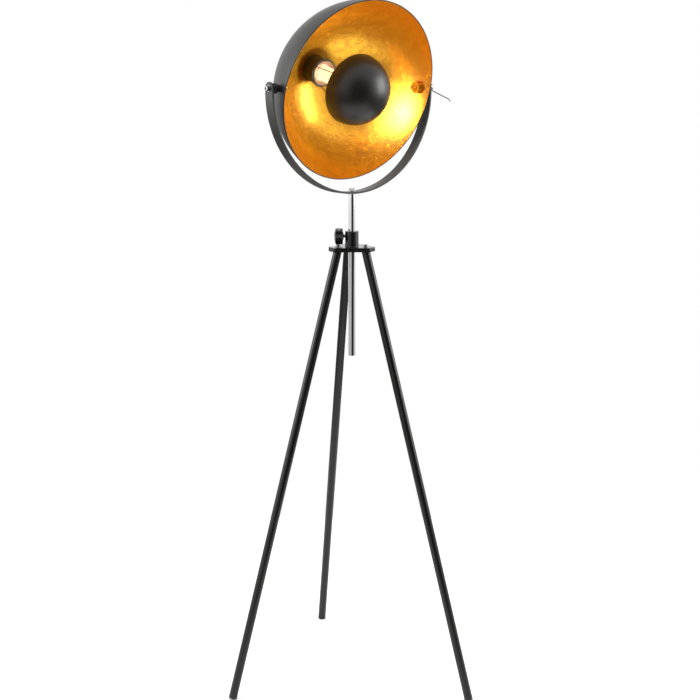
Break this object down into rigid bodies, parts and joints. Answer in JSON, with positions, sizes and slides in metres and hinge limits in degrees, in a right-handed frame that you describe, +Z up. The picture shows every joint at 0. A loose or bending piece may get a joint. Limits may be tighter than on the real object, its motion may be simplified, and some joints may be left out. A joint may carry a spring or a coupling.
{
  "type": "tripod floor lamp",
  "caption": "Floor lamp with a gold-lined dish shade tilting in a half-round yoke on a height-adjustable mast and a three-legged tube stand.",
  "frame": {"origin": "on the floor, under the mast's axis", "axes": "+Z up along the mast; +X to the right and -Y towards the viewer, so the two front legs splay to -Y"},
  "size_m": [0.5546, 0.4844, 1.5493],
  "materials": {
    "black_metal": "satin black powder coat",
    "leg_black": "satin black powder coat",
    "dish_shell": "satin black outside, gold leaf inside",
    "gold_hardware": "gold painted with the dish",
    "chrome": "polished chrome plate",
    "zinc_steel": "bright zinc",
    "black_plastic": "gloss black moulding",
    "matt_plastic": "matt black moulding",
    "nylon": "natural nylon",
    "rubber": "matt black",
    "brass": "plain brass",
    "porcelain": "off-white porcelain",
    "lamp_glass": "clear warm glass",
    "lamp_cap": "bright screw cap",
    "filament": "lit filament",
    "shield_black": "satin brown-black",
    "steel_wire": "drawn wire",
    "dark_wire": "black coated wire"
  },
  "bodies": {
    "tripod": {"tripod_plate": "black_metal", "clamp_hub": "black_metal", "hub_liner": "nylon", "hub_screws": "zinc_steel", "leg_left": "leg_black", "leg_right": "leg_black", "leg_back": "leg_black", "leg_plugs": "zinc_steel", "leg_bolts": "chrome", "leg_washers": "chrome", "foot_left": "rubber", "foot_right": "rubber", "foot_back": "rubber", "clamp_pad": "brass"},
    "knob": {"clamp_knob": "black_plastic", "clamp_screw": "zinc_steel"},
    "mast": {"mast_rod": "chrome", "mast_end_plug": "matt_plastic", "mast_top_plug": "zinc_steel", "swivel_bolt": "zinc_steel", "swivel_washer_lower": "nylon", "swivel_washer_upper": "zinc_steel"},
    "yoke": {"yoke": "black_metal"},
    "shade": {"shade_shell": "dish_shell", "pivot_spacer_left": "matt_plastic", "pivot_spacer_right": "matt_plastic", "pivot_boss_left": "gold_hardware", "pivot_boss_right": "gold_hardware", "pivot_washers": "gold_hardware", "pivot_nuts": "gold_hardware", "head_washers": "chrome", "pivot_bolt_left": "chrome", "pivot_stud_right": "gold_hardware", "lampholder_cup": "matt_plastic", "lampholder_socket": "porcelain", "terminal_screws": "brass", "thread_sleeve": "brass", "centre_contact": "brass", "holder_ring": "porcelain", "inner_fixing_washer": "zinc_steel", "outer_fixing_washer": "zinc_steel", "fixing_stud": "zinc_steel", "fixing_nuts": "zinc_steel", "cable_gland": "matt_plastic", "bulb_glass": "lamp_glass", "bulb_base": "lamp_cap", "bulb_stem": "lamp_glass", "bulb_filament": "filament", "glare_shield": "shield_black", "shield_wires": "dark_wire"},
    "lever": {"tilt_lever": "steel_wire", "lever_nut": "zinc_steel"}
  },
  "joints": [
    {"name": "mast_height", "type": "slide", "parent": "tripod", "child": "mast", "axis": [0, 0, 1], "range_m": [-0.075, 0.2]},
    {"name": "yoke_swivel", "type": "hinge", "parent": "mast", "child": "yoke", "pos_m": [0, 0, 1.1335], "axis": [0, 0, 1], "range_deg": [-175, 175]},
    {"name": "shade_tilt", "type": "hinge", "parent": "yoke", "child": "shade", "pos_m": [0, 0, 1.3635], "axis": [0.788, 0.6157, 0], "range_deg": [-107, 73]},
    {"name": "lever_turn", "type": "hinge", "parent": "shade", "child": "lever", "pos_m": [0, 0, 1.3635], "axis": [0.788, 0.6157, 0], "range_deg": [-60, 60]},
    {"name": "knob_turn", "type": "hinge", "parent": "tripod", "child": "knob", "pos_m": [-0.02, 0, 1.039], "axis": [-1, 0, 0], "range_deg": [-360, 360]}
  ]
}
